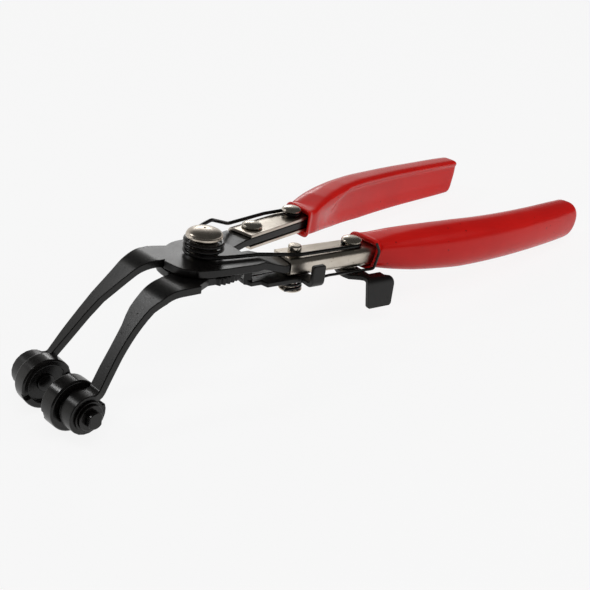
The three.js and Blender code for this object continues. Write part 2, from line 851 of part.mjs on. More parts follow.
function hookPoints(place, radius, from, sweep_angle, level, steps = 10) {
  return [...Array(steps + 1).keys()].map((i) => {
    const turn = from + (sweep_angle * i) / steps;
    return new THREE.Vector3(place.x + radius * Math.cos(turn), place.y + radius * Math.sin(turn), level);
  });
}

function coilPoints(centre, radius, from, level, pitch, steps, sense) {
  return [...Array(steps + 1).keys()].map((i) => {
    const turn = from + (sense * 2 * Math.PI * i) / spring_steps_per_turn;
    const height = level + (pitch * i) / spring_steps_per_turn;
    const [x, y] = [radius * Math.cos(turn), radius * Math.sin(turn)];
    return new THREE.Vector3(centre.x + x, centre.y + y, height);
  });
}

function mainSpringPoints() {
  const hook_radius = rivet_radius + fit_gap + spring_wire / 2;
  const near = onHandle(-1, rear_rivet_at, 0);
  const far = onHandle(1, rear_rivet_at, 0);
  const outer = Math.PI / 2 + handle_angle;
  const steps = spring_turns * spring_steps_per_turn;
  const middle = new THREE.Vector3();
  const from = spring_start_angle;
  const coil = coilPoints(middle, spring_coil_radius, from, spring_base, spring_pitch, steps, -1);
  const crest = coil[coil.length - 1].z;
  const into = coil[0].clone().sub(coil[1]).setZ(0).multiplyScalar(spring_turns / 2);
  return [
    ...hookPoints(near, hook_radius, spring_hook_angle - outer, -spring_hook_angle, legLevel(-1)),
    onHandle(-1, pawl_pin_at, near_leg_post_out, legLevel(-1) + near_leg_post_rise),
    onHandle(-1, tang_step_start, near_leg_step_out, spring_base),
    coil[0].clone().add(into),
    ...coil,
    onHandle(1, far_leg_first_at, far_leg_first_out, crest),
    onHandle(1, far_leg_crest_at, far_leg_crest_out, crest + far_leg_rise),
    onHandle(1, channel_front, far_leg_out, legLevel(1)),
    onHandle(1, far_leg_end_at, far_leg_out - spring_wire / 2, legLevel(1)),
    ...hookPoints(far, hook_radius, outer, -spring_hook_angle, legLevel(1)),
  ];
}

// Pawl

function pawlPlate() {
  const heel = pawl_pin_at + pawl_head_radius;
  return shapeOf([
    flatOnHandle(-1, pawl_front_at, pawl_inner_out),
    flatOnHandle(-1, pawl_front_at, 0),
    flatOnHandle(-1, pawl_throat_at, pawl_throat_out),
    flatOnHandle(-1, pawl_shoulder_at - pawl_sheet / 2, pawl_throat_out),
    flatOnHandle(-1, pawl_shoulder_at, pawl_outer_out),
    flatOnHandle(-1, pawl_tab_front, pawl_outer_out),
    flatOnHandle(-1, pawl_tab_rear, pawl_outer_out),
    flatOnHandle(-1, heel, 0),
    flatOnHandle(-1, pawl_pin_at + pawl_post_radius, pawl_inner_out),
    flatOnHandle(-1, pawl_pin_at - pawl_post_radius, pawl_inner_out - pawl_sheet / 2),
    flatOnHandle(-1, pawl_web_rear, pawl_web_out),
    flatOnHandle(-1, pawl_web_front, pawl_web_out),
  ]);
}

function pawlNose() {
  const inner = teeth_radius + fit_gap;
  const outer = inner + pawl_nose_depth;
  const face = pawl_nose_angles.map((turn) => [inner * Math.cos(turn), inner * Math.sin(turn)]);
  const back = pawl_nose_angles.map((turn) => [outer * Math.cos(turn), outer * Math.sin(turn)]);
  return shapeOf([...face, ...back.reverse()]);
}

// The middle line of a quarter bend from a plate's level into an upright tab: rows of out and height
function quarterBend(out, level, radius, rise, steps = 4) {
  return [...Array(steps + 1).keys()].map((i) => {
    const turn = ((Math.PI / 2) * i) / steps;
    return [out - radius + radius * Math.sin(turn), level + rise * radius * (1 - Math.cos(turn))];
  });
}

// A tab bent off a plate, from rows of distance out, height, front end and rear end
function bentTab(rows, thickness) {
  const along = onHandle(-1, 1, 0).sub(onHandle(-1, 0, 0));
  const outward = onHandle(-1, 0, 1).sub(onHandle(-1, 0, 0));
  const stations = rows.map(([out, level], i) => {
    const before = rows[Math.max(i - 1, 0)];
    const after = rows[Math.min(i + 1, rows.length - 1)];
    const run = new THREE.Vector2(after[0] - before[0], after[1] - before[1]).normalize();
    const up = outward.clone().multiplyScalar(-run.y).add(new THREE.Vector3(0, 0, run.x));
    return { place: onHandle(-1, 0, out, level), across: along, up };
  });
  return sweep(stations, (i) => {
    const [front, rear] = [rows[i][2], rows[i][3]];
    return rectangle(rear - front, thickness, (front + rear) / 2);
  });
}

function pawl() {
  const pin = flatOnHandle(-1, pawl_pin_at, 0);
  const [front, rear] = [pawl_tab_front, pawl_tab_rear];
  const level = (pawl_bottom + pawl_top) / 2;
  const out = pawl_tab_out - pawl_sheet / 2;
  const top = pawl_bottom + pawl_tab_height;
  const tab = bentTab([
    [pawl_outer_out - pawl_sheet, level, front, rear],
    ...quarterBend(out, level, pawl_tab_bend, 1).map((row) => [...row, front, rear]),
    [out, top - corner_ease, front, rear],
    [out, top - corner_ease / 4, front + corner_ease / 4, rear - corner_ease / 4],
    [out, top, front + corner_ease, rear - corner_ease],
  ], pawl_sheet);
  const body = solid(slab(pawlPlate(), pawl_bottom, pawl_top))
    .add(solid(slab(pawlNose(), pawl_bottom, nose_top)))
    .add(solid(tab))
    .subtract(solid(rod(pawl_pin_radius + fit_gap, -jaw_drop, jaw_drop, ...pin)));
  return geometryOf(body);
}

const pawl_spring_top = pawl_bottom - fit_gap - pawl_spring_wire / 2;
const pawl_spring_low = pawl_spring_top - pawl_spring_turns * pawl_spring_pitch;

function pawlPin() {
  const place = onHandle(-1, pawl_pin_at, 0);
  const head_top = pawl_spring_low - pawl_spring_wire / 2 - fit_gap;
  const shoulder = channelTop(-1) + fit_gap;
  const profile = [
    [0, head_top - pawl_head_height],
    [pawl_head_radius - corner_ease, head_top - pawl_head_height],
    [pawl_head_radius, head_top - pawl_head_height + corner_ease / 2],
    [pawl_head_radius, head_top],
    [pawl_pin_radius, head_top],
    [pawl_pin_radius, shoulder],
    [pawl_post_radius, shoulder],
    [pawl_post_radius, shoulder + pawl_post_height - corner_ease / 2],
    [pawl_post_radius - corner_ease / 2, shoulder + pawl_post_height],
    [0, shoulder + pawl_post_height],
  ];
  return turned(profile, 24).translate(place.x, place.y, 0);
}

// A short tail, the coil round the pin, then the long arm under the channel and up past its web
function pawlSpringPoints() {
  const pin = onHandle(-1, pawl_pin_at, 0);
  const from = -Math.PI / 2 - handle_angle;
  const steps = pawl_spring_turns * spring_steps_per_turn;
  const coil = coilPoints(pin, pawl_spring_radius, from, pawl_spring_low, pawl_spring_pitch, steps, 1);
  const under_channel = channelBottom(-1, pawl_spring_rise_at) - fit_gap - pawl_spring_wire / 2;
  const beside_web = channel_half_width + fit_gap + pawl_spring_wire / 2;
  return [
    onHandle(-1, pawl_pin_at - pawl_spring_tail, pawl_spring_radius, pawl_spring_low),
    ...coil,
    onHandle(-1, pawl_tab_rear + pawl_spring_wire, pawl_spring_radius + pawl_spring_wire, pawl_spring_top),
    onHandle(-1, pawl_spring_rise_at, beside_web, under_channel),
    ...pawl_spring_riser.map(([along, out, height]) => onHandle(-1, along, out, height)),
  ];
}

// Release lever

function releaseLever() {
  const pin = flatOnHandle(-1, rear_rivet_at, 0);
  const rear = rear_rivet_at + release_half_width;
  const ease = 2 * corner_ease;
  const plan = shapeOf([
    flatOnHandle(-1, release_front + ease, -release_half_width),
    flatOnHandle(-1, release_front, 0),
    flatOnHandle(-1, release_front, release_half_width),
    flatOnHandle(-1, release_front + ease / 2, release_neck_out - 2 * ease),
    flatOnHandle(-1, release_tab_front - ease / 2, release_neck_out - ease / 2),
    flatOnHandle(-1, release_tab_front, release_neck_out),
    flatOnHandle(-1, release_tab_rear - release_tab_corner, release_neck_out),
    flatOnHandle(-1, rear, release_neck_out - ease),
    flatOnHandle(-1, rear, -release_half_width + ease),
    flatOnHandle(-1, rear - ease, -release_half_width),
  ]);
  const body = solid(slab(plan, release_bottom, release_top))
    .add(solid(releaseTab()))
    .subtract(solid(rod(rivet_radius + fit_gap, -jaw_drop, jaw_drop, ...pin)));
  return geometryOf(body);
}

// The tab hangs from the plate, and one round corner runs from its rear end over the bend
function releaseTab() {
  const level = (release_bottom + release_top) / 2;
  const out = release_tab_out - release_sheet / 2;
  const low = release_top - release_tab_height;
  const bend = quarterBend(out, level, release_tab_bend, -1);
  const start = bend[bend.length - 1][1];
  const bend_run = (release_tab_bend * Math.PI) / 2;
  const ends = (run) => {
    const left = Math.max(1 - run / release_tab_corner, 0);
    const rear = release_tab_rear - release_tab_corner * (1 - Math.sqrt(1 - left ** 2));
    const drop = Math.max(run - bend_run, 0) / (start - low);
    return [THREE.MathUtils.lerp(release_tab_front, release_tab_low_front, drop), rear];
  };
  const corner_steps = 3;
  const rounding = [...Array(corner_steps).keys()].map((i) => {
    const run = bend_run + ((release_tab_corner - bend_run) * (i + 1)) / corner_steps;
    return [out, start - run + bend_run, ...ends(run)];
  });
  const foot = ends(start - low + bend_run);
  return bentTab([
    [release_neck_out - release_sheet, level, ...ends(0)],
    ...bend.map((row, i) => [...row, ...ends((bend_run * i) / (bend.length - 1))]),
    ...rounding,
    [out, low + corner_ease, ...foot],
    [out, low, foot[0] + corner_ease, foot[1] - corner_ease],
  ], release_sheet);
}

function releaseSpacer() {
  const place = onHandle(-1, rear_rivet_at, 0);
  const low = release_top + fit_gap;
  return ring(rivet_radius + fit_gap, release_spacer_radius, low, low + release_spacer, place.x, place.y);
}

// Swivel jaws, drawn with the axis along +Z and the working face at Z = 0

function jawBody(side) {
  const shank = eye_bore - fit_gap;
  const collar_top = eye_inner - jaw_half_gap - fit_gap;
  const end = eye_outer - jaw_half_gap + jaw_shank_end;
  const bore = swivel_pin_radius + fit_gap;
  const profile = [
    [bore, jaw_recess_depth], [jaw_recess_radius, jaw_recess_depth],
    [jaw_recess_radius, 0], [jaw_radius - jaw_edge, 0], [jaw_radius, jaw_edge],
    [jaw_radius, jaw_thickness - jaw_edge], [jaw_radius - jaw_edge, jaw_thickness],
    [jaw_collar_radius, jaw_thickness], [jaw_collar_radius, collar_top],
    [shank, collar_top], [shank, end], [bore, end], [bore, jaw_recess_depth],
  ];
  const slot = new THREE.BoxGeometry(2 * (jaw_radius + overrun), jaw_slot_width, 2 * jaw_slot_depth);
  slot.rotateZ(-side * jaw_slot_turn);
  const clip_low = eye_outer - jaw_half_gap + fit_gap;
  const groove = ring(shank - fit_gap, clip_radius, clip_low, clip_low + clip_thickness + fit_gap);
  return geometryOf(solid(turned(profile, 40)).subtract(solid(slot)).subtract(solid(groove)));
}

function swivelPin() {
  const end = eye_outer - jaw_half_gap + jaw_shank_end + fit_gap;
  const seat = jaw_recess_depth - fit_gap;
  const head = turned([
    [0, seat - swivel_head_height], [swivel_head_radius / 2, seat - swivel_head_height],
    [swivel_head_radius, seat - swivel_head_height / 2], [swivel_head_radius, seat],
    [swivel_pin_radius, seat], [swivel_pin_radius, end],
    [swivel_tail_radius, end], [swivel_tail_radius, end + swivel_tail_length],
    [0, end + swivel_tail_length],
  ], 24);
  let body = solid(head);
  for (const side of [-1, 1]) {
    const wide = 2 * swivel_tail_radius;
    const flat = new THREE.BoxGeometry(wide, wide, swivel_tail_length + overrun);
    const shift = swivel_tail_flat + wide / 2;
    flat.translate(side * shift, 0, end + (swivel_tail_length + overrun) / 2);
    body = body.subtract(solid(flat));
  }
  return geometryOf(body);
}

function retainingClip() {
  const low = eye_outer - jaw_half_gap + 1.5 * fit_gap;
  const groove_floor = eye_bore - 2 * fit_gap;
  const top = low + clip_thickness - fit_gap / 2;
  const ringed = solid(ring(groove_floor + fit_gap / 2, clip_radius, low, top));
  const gap = new THREE.BoxGeometry(2 * clip_radius, swivel_pin_radius, 4 * clip_thickness);
  gap.translate(clip_radius, 0, low);
  return geometryOf(ringed.subtract(solid(gap)));
}

// Assembly

function piece(name, geometry, finish) {
  const mesh = new THREE.Mesh(geometry, new THREE.MeshStandardMaterial(finishes[finish]));
  mesh.name = name;
  return mesh;
}

function swivelGroup(prefix, side) {
  const group = new THREE.Group();
  group.add(piece(`${prefix}_swivel_jaw`, jawBody(side), "black"));
  group.add(piece(`${prefix}_swivel_pin`, swivelPin(), "black"));
  group.add(piece(`${prefix}_retaining_clip`, retainingClip(), "black"));
  const outward = new THREE.Vector3(Math.sin(jaw_splay), side * Math.cos(jaw_splay), 0);
  group.quaternion.setFromUnitVectors(new THREE.Vector3(0, 0, 1), outward);
  group.position.set(-jaw_reach, 0, -jaw_drop).addScaledVector(outward, jaw_half_gap);
  return group;
}

// The angle at which the lowest points of the jaws and of the grips are level
function restingTilt() {
  const stations = gripStations(-1, near_mouth);
  const low = (tilt) => {
    const heights = stations.map((station) => {
      const half = sizeAlong(grip_half_heights, station.share) + station.extra;
      const under = station.place.clone().addScaledVector(station.up, -half);
      return under.z * Math.cos(tilt) - under.x * Math.sin(tilt);
    });
    return Math.min(...heights) - (jaw_reach * Math.sin(tilt) - jaw_drop * Math.cos(tilt) - jaw_radius);
  };
  let [least, most] = [0, Math.PI / 4];
  for (let i = 0; i < 40; i += 1) {
    const middle = (least + most) / 2;
    [least, most] = low(middle) > 0 ? [middle, most] : [least, middle];
  }
  return (least + most) / 2;
}

const main_points = mainSpringPoints();
const pawl_points = pawlSpringPoints();
console.log(`main spring least gap ${leastGap(main_points, spring_wire).toFixed(2)} mm`);
console.log(`pawl spring least gap ${leastGap(pawl_points, pawl_spring_wire).toFixed(2)} mm`);

const near_holes = [[pawl_pin_radius, pawl_pin_at, -1], [rivet_radius, rear_rivet_at, -1]];
const far_holes = [[rivet_radius, front_rivet_at, 1], [rivet_radius, rear_rivet_at, 1]];

const [front_rivet_low, rear_rivet_low] = [channelBottom(1, front_rivet_at), channelBottom(1, rear_rivet_at)];

const tool = new THREE.Group();
tool.add(
  piece("upper_lever", upperLever(), "black"),
  piece("lower_lever", lowerLever(), "black"),
  piece("pivot_rivet", pivotRivet(), "nickel"),
  piece("pivot_washer", pivotWasher(), "nickel"),
  piece("main_spring", tube(main_points, spring_wire), "black"),
  piece("near_channel", channel(-1, near_holes), "nickel"),
  piece("far_channel", channel(1, far_holes), "nickel"),
  piece("near_grip", grip(-1, near_mouth), "red"),
  piece("far_grip", grip(1, far_mouth), "red"),
  piece("near_rear_rivet", rivet(-1, rear_rivet_at, release_bottom, hookedHeadBottom(-1)), "nickel"),
  piece("far_front_rivet", rivet(1, front_rivet_at, front_rivet_low, channelTop(1) + fit_gap), "nickel"),
  piece("far_rear_rivet", rivet(1, rear_rivet_at, rear_rivet_low, hookedHeadBottom(1)), "nickel"),
  piece("pawl", pawl(), "black"),
  piece("pawl_pin", pawlPin(), "nickel"),
  piece("pawl_spring", tube(pawl_points, pawl_spring_wire), "black"),
  piece("release_lever", releaseLever(), "black"),
  piece("release_spacer", releaseSpacer(), "nickel"),
  swivelGroup("far", 1),
  swivelGroup("near", -1),
);
tool.rotation.y = restingTilt();

const pliers = new THREE.Group();
pliers.add(tool);
pliers.updateMatrixWorld(true);
const reach = new THREE.Box3().setFromObject(pliers, true);
const middle = reach.getCenter(new THREE.Vector3());
tool.position.set(-middle.x, -middle.y, -reach.min.z);

export default pliers;
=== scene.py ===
"""Angled hose clamp pliers: cranked black levers, swivel jaws, nickel channels and red dipped grips."""
import json
import math

import bmesh
import bpy
from mathutils import Matrix, Vector
from mathutils.geometry import interpolate_bezier


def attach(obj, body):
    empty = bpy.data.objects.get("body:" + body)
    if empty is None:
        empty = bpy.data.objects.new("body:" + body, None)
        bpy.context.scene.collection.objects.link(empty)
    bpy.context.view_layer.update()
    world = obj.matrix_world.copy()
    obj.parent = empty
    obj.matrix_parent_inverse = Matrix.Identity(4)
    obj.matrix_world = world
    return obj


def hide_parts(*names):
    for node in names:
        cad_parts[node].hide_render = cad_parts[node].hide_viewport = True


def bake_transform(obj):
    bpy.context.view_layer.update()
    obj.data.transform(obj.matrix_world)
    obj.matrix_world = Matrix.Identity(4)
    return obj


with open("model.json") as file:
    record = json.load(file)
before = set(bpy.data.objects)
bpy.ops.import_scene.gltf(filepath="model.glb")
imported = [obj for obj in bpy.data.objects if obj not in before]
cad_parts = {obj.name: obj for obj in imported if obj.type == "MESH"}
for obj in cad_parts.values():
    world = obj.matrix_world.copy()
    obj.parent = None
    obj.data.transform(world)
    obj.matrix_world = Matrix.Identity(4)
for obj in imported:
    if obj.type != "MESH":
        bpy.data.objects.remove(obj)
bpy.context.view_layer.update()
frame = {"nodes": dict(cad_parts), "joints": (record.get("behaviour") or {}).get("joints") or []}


# Studio. The pliers lie on pale paper, in a dim room with a bright window low down behind them. Two small
# softboxes show in the metal, and two fills that it doesn't mirror light the rest. The camera looks down
# along the tool from the jaw end.
class Value:
    """A number that varies over a surface; plain arithmetic on it adds the nodes."""

    def __init__(self, finish, socket):
        self.finish = finish
        self.socket = socket

    def math(self, operation, *values):
        return self.finish.node("ShaderNodeMath", {"operation": operation}, dict(enumerate(values)))

    def __add__(self, other):
        return self.math("ADD", self, other)

    def __sub__(self, other):
        return self.math("SUBTRACT", self, other)

    def __rsub__(self, other):
        return self.math("SUBTRACT", other, self)

    def __mul__(self, other):
        return self.math("MULTIPLY", self, other)

    __radd__ = __add__
    __rmul__ = __mul__

    def band(self, low, high):
        """0 below low, 1 above high and a smooth step between them."""
        sockets = {"Value": self, "From Min": low, "From Max": high}
        return self.finish.node("ShaderNodeMapRange", {"interpolation_type": "SMOOTHSTEP"}, sockets)


class Finish:
    """One finish, mixed from nodes; shade ends it in a Principled shader."""

    def __init__(self, name, holder=None):
        self.material = holder or bpy.data.materials.new(name)
        self.material.use_nodes = True
        self.tree = self.material.node_tree
        self.tree.nodes.clear()

    def node(self, kind, settings=None, sockets=None, output=0):
        """Adds a node: its settings first, then the values or links of its sockets."""
        made = self.tree.nodes.new(kind)
        for key, value in (settings or {}).items():
            setattr(made, key, value)
        for key, value in (sockets or {}).items():
            if isinstance(value, Value):
                self.tree.links.new(value.socket, made.inputs[key])
            else:
                made.inputs[key].default_value = value
        return Value(self, made.outputs[output]) if made.outputs else None

    def place(self, scale=(1, 1, 1), turn=(0, 0, 0)):
        """Where a point is on the object, stretched and turned for patterns that run one way."""
        here = self.node("ShaderNodeTexCoord", output="Object")
        return self.node("ShaderNodeMapping", {}, {"Vector": here, "Scale": scale, "Rotation": turn})

    def noise(self, scale, detail=2.0, rough=0.5, at=None):
        sockets = {"Vector": at or self.place(), "Scale": scale, "Detail": detail, "Roughness": rough}
        return self.node("ShaderNodeTexNoise", {}, sockets)

    def blend(self, share, one, other):
        """One colour, or a blend made before, going over to the other by share."""
        # The node's sockets share their names between numbers, vectors and colours; these are the colours'
        colour_a, colour_b, result = 6, 7, 2
        first = one if isinstance(one, Value) else (*one, 1)
        sockets = {"Factor": share, colour_a: first, colour_b: (*other, 1)}
        return self.node("ShaderNodeMix", {"data_type": "RGBA"}, sockets, output=result)

    def bump(self, height, strength, depth):
        sockets = {"Height": height, "Strength": strength, "Distance": depth}
        return self.node("ShaderNodeBump", {}, sockets)

    def shade(self, **sockets):
        named = {key.replace("_", " "): value for key, value in sockets.items()}
        shader = self.node("ShaderNodeBsdfPrincipled", {}, named)
        self.node("ShaderNodeOutputMaterial", {}, {"Surface": shader})
        return self.material


paper_size, paper_drop = 8.0, 0.0002
paper_tones = (0.92, 0.92, 0.93), (0.95, 0.95, 0.96)
paper_seen, paper_mirrored = (1.0, 1.0, 1.0), (0.86, 0.86, 0.85)
evenly_lit = 0.88


def paper():
    """Paper that the camera and the metal see as an even white sheet with the pliers' shadow on it."""
    sheet = Finish("pale_paper")
    fibre = sheet.noise(900, detail=3)
    lit = sheet.node("ShaderNodeBsdfDiffuse", {}, {"Color": sheet.blend(fibre, *paper_tones)})
    seen = sheet.node("ShaderNodeLightPath", output="Is Camera Ray")
    mirrored = sheet.node("ShaderNodeLightPath", output="Is Glossy Ray")
    white = sheet.blend(mirrored, paper_seen, paper_mirrored)
    glow = sheet.node("ShaderNodeEmission", {}, {"Color": white, "Strength": 1.0})
    share = (seen + mirrored) * evenly_lit
    mixed = sheet.node("ShaderNodeMixShader", {}, {0: share, 1: lit, 2: glow})
    sheet.node("ShaderNodeOutputMaterial", {}, {"Surface": mixed})
    return sheet.material


table = bmesh.new()
bmesh.ops.create_grid(table, x_segments=2, y_segments=2, size=paper_size / 2)
bmesh.ops.translate(table, verts=table.verts, vec=(0, 0, -paper_drop))
floor_mesh = bpy.data.meshes.new("paper_floor")
table.to_mesh(floor_mesh)
table.free()
floor_mesh.materials.append(paper())
floor = bpy.data.objects.new("paper_floor", floor_mesh)
bpy.context.scene.collection.objects.link(floor)

# The room: the metal mirrors dim walls and the window, the camera sees a pale backdrop
wall_colour, window_colour, backdrop_colour = (0.06, 0.06, 0.058), (0.76, 0.75, 0.73), (0.9, 0.9, 0.9)
window_sides, window_head = (0.42, 0.66), (0.36, 0.62)
world = bpy.data.worlds.new("studio")
bpy.context.scene.world = world
room = Finish("studio", world)
direction = {"Vector": room.node("ShaderNodeTexCoord", output="Generated")}
behind = room.node("ShaderNodeSeparateXYZ", {}, direction, output="Y")
height = room.node("ShaderNodeSeparateXYZ", {}, direction, output="Z")
window = behind.band(*window_sides) * (1 - height.band(*window_head))
walls = room.blend(window, wall_colour, window_colour)
backdrop = room.blend(room.node("ShaderNodeLightPath", output="Is Camera Ray"), walls, backdrop_colour)
air = room.node("ShaderNodeBackground", {}, {"Color": backdrop, "Strength": 1.0})
room.node("ShaderNodeOutputWorld", {}, {"Surface": air})

lights_aim = Vector((0, 0, 0.02))


def soft_light(name, at, size, power, mirrored=True):
    """A rectangular light turned to the pliers, which the metal mirrors or doesn't."""
    lamp = bpy.data.lights.new(name, "AREA")
    lamp.shape = "RECTANGLE"
    lamp.size, lamp.size_y = size
    lamp.energy = power
    box = bpy.data.objects.new(name, lamp)
    box.location = at
    box.rotation_euler = (lights_aim - Vector(at)).to_track_quat("-Z", "Y").to_euler()
    box.visible_glossy = mirrored
    bpy.context.scene.collection.objects.link(box)


soft_light("window_softbox", (0.60, 0.80, 0.33), (0.28, 0.15), 0.6)
soft_light("left_softbox", (-0.40, 0.60, 0.64), (0.12, 0.14), 0.7)
soft_light("overhead_fill", (-0.1, -0.3, 1.2), (0.9, 0.9), 3.6, mirrored=False)
soft_light("front_fill", (0.5, -0.9, 0.5), (0.7, 0.5), 3.0, mirrored=False)

camera_place = (-0.237138, -0.23855, 0.193717)
camera_forward = Vector((0.59483, 0.62971, -0.49965)).normalized()
camera_up = Vector((0.33219, 0.37343, 0.86614))
lens = bpy.data.cameras.new("camera")
lens.sensor_width = 36.0
lens.lens = 57.77
lens.clip_start = 0.01
camera = bpy.data.objects.new("camera", lens)
camera_right = camera_forward.cross(camera_up).normalized()
camera_up = camera_right.cross(camera_forward)
camera_turn = Matrix((camera_right, camera_up, -camera_forward)).transposed().to_4x4()
camera.matrix_world = Matrix.Translation(camera_place) @ camera_turn
bpy.context.scene.collection.objects.link(camera)
bpy.context.scene.camera = camera
bpy.context.scene.view_settings.view_transform = "Standard"


# Levers. Two stacked plates blanked from 3 mm steel, bent down at the jaws and rolled into eyes.
# They are black oxide finished, and tumbling has eased the corners of the blanks.
plate_ease = 0.00034


def black_oxide(name, shine, grain=1.0):
    """Black oxide on steel: a fine speckle, browner clouds and small pits; shine is its least roughness."""
    black, grey, brown = (0.0022, 0.0021, 0.0022), (0.010, 0.0085, 0.008), (0.018, 0.015, 0.013)
    steel = Finish(name)
    speckle = steel.noise(1500, detail=3, rough=0.6)
    cloud = steel.noise(110, detail=2)
    pits = steel.noise(620, detail=2, rough=0.4).band(0.68, 0.76)
    colour = steel.blend(speckle.band(0.35, 0.75), black, grey)
    colour = steel.blend(cloud.band(0.5, 0.8) * 0.35, colour, brown)
    rough = shine + speckle * 0.12 + cloud * 0.08 + pits * 0.1
    bumps = steel.bump(speckle * 0.4 - pits, strength=0.3 * grain, depth=0.0001)
    return steel.shade(Base_Color=colour, Roughness=rough, Normal=bumps, IOR=1.44)


def pressed(node, ease, sharp=25):
    """A merged copy of a pressed piece with its corners eased."""
    same_place, same_plane = 2e-6, math.radians(0.4)
    mesh = bmesh.new()
    mesh.from_mesh(frame["nodes"][node].data)
    bmesh.ops.remove_doubles(mesh, verts=mesh.verts, dist=same_place)
    bmesh.ops.dissolve_limit(mesh, angle_limit=same_plane, verts=mesh.verts, edges=mesh.edges)
    corners = [
        edge for edge in mesh.edges
        if len(edge.link_faces) == 2 and edge.calc_face_angle() > math.radians(sharp)
    ]
    bmesh.ops.bevel(
        mesh, geom=corners, offset=ease, affect="EDGES", segments=3, profile=0.5,
        material=-1, clamp_overlap=False,
    )
    return mesh


def finished(name, mesh, material, body, node, sharp=38):
    """A piece's object, smooth but for sharp edges. It stands for a node and rides on its body, if any."""
    data = bpy.data.meshes.new(name)
    mesh.to_mesh(data)
    mesh.free()
    data.shade_smooth()
    data.set_sharp_from_angle(angle=math.radians(sharp))
    data.materials.append(material)
    made = bpy.data.objects.new(name, data)
    bpy.context.scene.collection.objects.link(made)
    if body:
        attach(made, body)
    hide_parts(node)
    return made


def even_faces(made):
    """Keeps the large faces flat beside their eased corners."""
    keep = made.modifiers.new("even faces", "WEIGHTED_NORMAL")
    keep.keep_sharp = True


lever_oxide = black_oxide("lever_black_oxide", shine=0.2)
for node, body in (("upper_lever", "upper"), ("lower_lever", "lower")):
    even_faces(finished(node + "_plate", pressed(node, plate_ease), lever_oxide, body, node))


# Pivot rivet and washer. The rivet is headed from nickel plated bar: a shallow dome over a short rim,
# with the small pip that the turning left in its middle. The washer under the levers spreads its tail.
millimetre = 0.001
pivot = next(joint for joint in frame["joints"] if joint["name"] == "lever_pivot")
pivot_lean = math.atan2(pivot["axis"][0], pivot["axis"][2])

# Turned pieces and wires are made in millimetres round an upright pivot axis; this lays them in the frame
in_place = (
    Matrix.Translation(pivot["pos_m"])
    @ Matrix.Rotation(pivot_lean, 4, "Y")
    @ Matrix.Scale(millimetre, 4)
)

shank_radius, head_radius, tail_radius = 4.9, 6.65, 7.0
head_bottom, head_rim, dome_rise = 9.61, 10.71, 2.3
tail_bottom, tail_top, tail_chamfer = -6.14, -4.56, (0.8, 0.74)
rim_ease, dome_inset = 0.2, 0.22
pip_radius, pip_floor_radius, pip_depth = 0.5, 0.32, 0.4
washer_bore, washer_radius, washer_bottom, washer_top = 5.2, 8.6, -4.24, -3.36


def nickel(name, turned_by=0.0, stretch=(1, 1, 1), shine=0.2, painted_dimming=0.0):
    """Warm nickel plate, brushed along its stretch, with a haze and a few brown specks; painted_dimming is
    painted shade that darkens this copy further through its brushed lines.
    """
    warm, hazy = (0.76, 0.70, 0.62), (0.64, 0.575, 0.495)
    brown, worn_and_painted_shade = (0.30, 0.22, 0.16), (0.42, 0.35, 0.29)
    plate = Finish(name)
    brushed = plate.noise(420, detail=4, rough=0.65, at=plate.place(stretch, (0, 0, turned_by)))
    haze = plate.noise(60, detail=3, rough=0.55)
    specks = plate.noise(900, detail=2, rough=0.5).band(0.64, 0.72)
    colour = plate.blend(haze.band(0.35, 0.7), warm, hazy)
    colour = plate.blend(specks * 0.5, colour, brown)
    # The darker brushed lines are the plate's grain; the extra share from the dimming argument is painted
    # shade that makes the whole copy duller.
    colour = plate.blend(brushed.band(0.3, 0.8) * (0.3 + painted_dimming), colour, worn_and_painted_shade)
    rough = shine + brushed * 0.12 + haze * 0.1 + specks * 0.15
    bumps = plate.bump(brushed * 0.6 - specks * 0.4, strength=0.12, depth=0.00008)
    return plate.shade(Base_Color=colour, Metallic=1.0, Roughness=rough, Normal=bumps)


def turned(profile, ease, at=(0, 0), steps=96):
    """A turned piece: a line of radius and height with its corners eased, spun about its axis."""
    mesh = bmesh.new()
    points = [mesh.verts.new((radius, 0, height)) for radius, height in profile]
    for one, other in zip(points, points[1:]):
        mesh.edges.new((one, other))
    bmesh.ops.bevel(
        mesh, geom=points[1:-1], offset=ease, affect="VERTICES", segments=3, profile=0.5,
        material=-1, clamp_overlap=True,
    )
    bmesh.ops.spin(
        mesh, geom=mesh.verts[:] + mesh.edges[:], cent=(0, 0, 0), axis=(0, 0, 1),
        angle=2 * math.pi, steps=steps, use_merge=True,
    )
    bmesh.ops.remove_doubles(mesh, verts=mesh.verts, dist=1e-4)
    bmesh.ops.translate(mesh, verts=mesh.verts, vec=(*at, 0))
    bmesh.ops.recalc_face_normals(mesh, faces=mesh.faces)
    bmesh.ops.transform(mesh, matrix=in_place, verts=mesh.verts)
    return mesh


def dome(radius, base, rise, steps=12):
    """The outline of a low dome from its edge to just short of its top."""
    turns = [math.pi / 2 * i / steps for i in range(steps)]
    return [(radius * math.cos(turn), base + rise * math.sin(turn)) for turn in turns]


def ring_section(bore, radius, low, high):
    """The closed outline of a washer or a spacer."""
    return [(bore, low), (radius, low), (radius, high), (bore, high), (bore, low)]


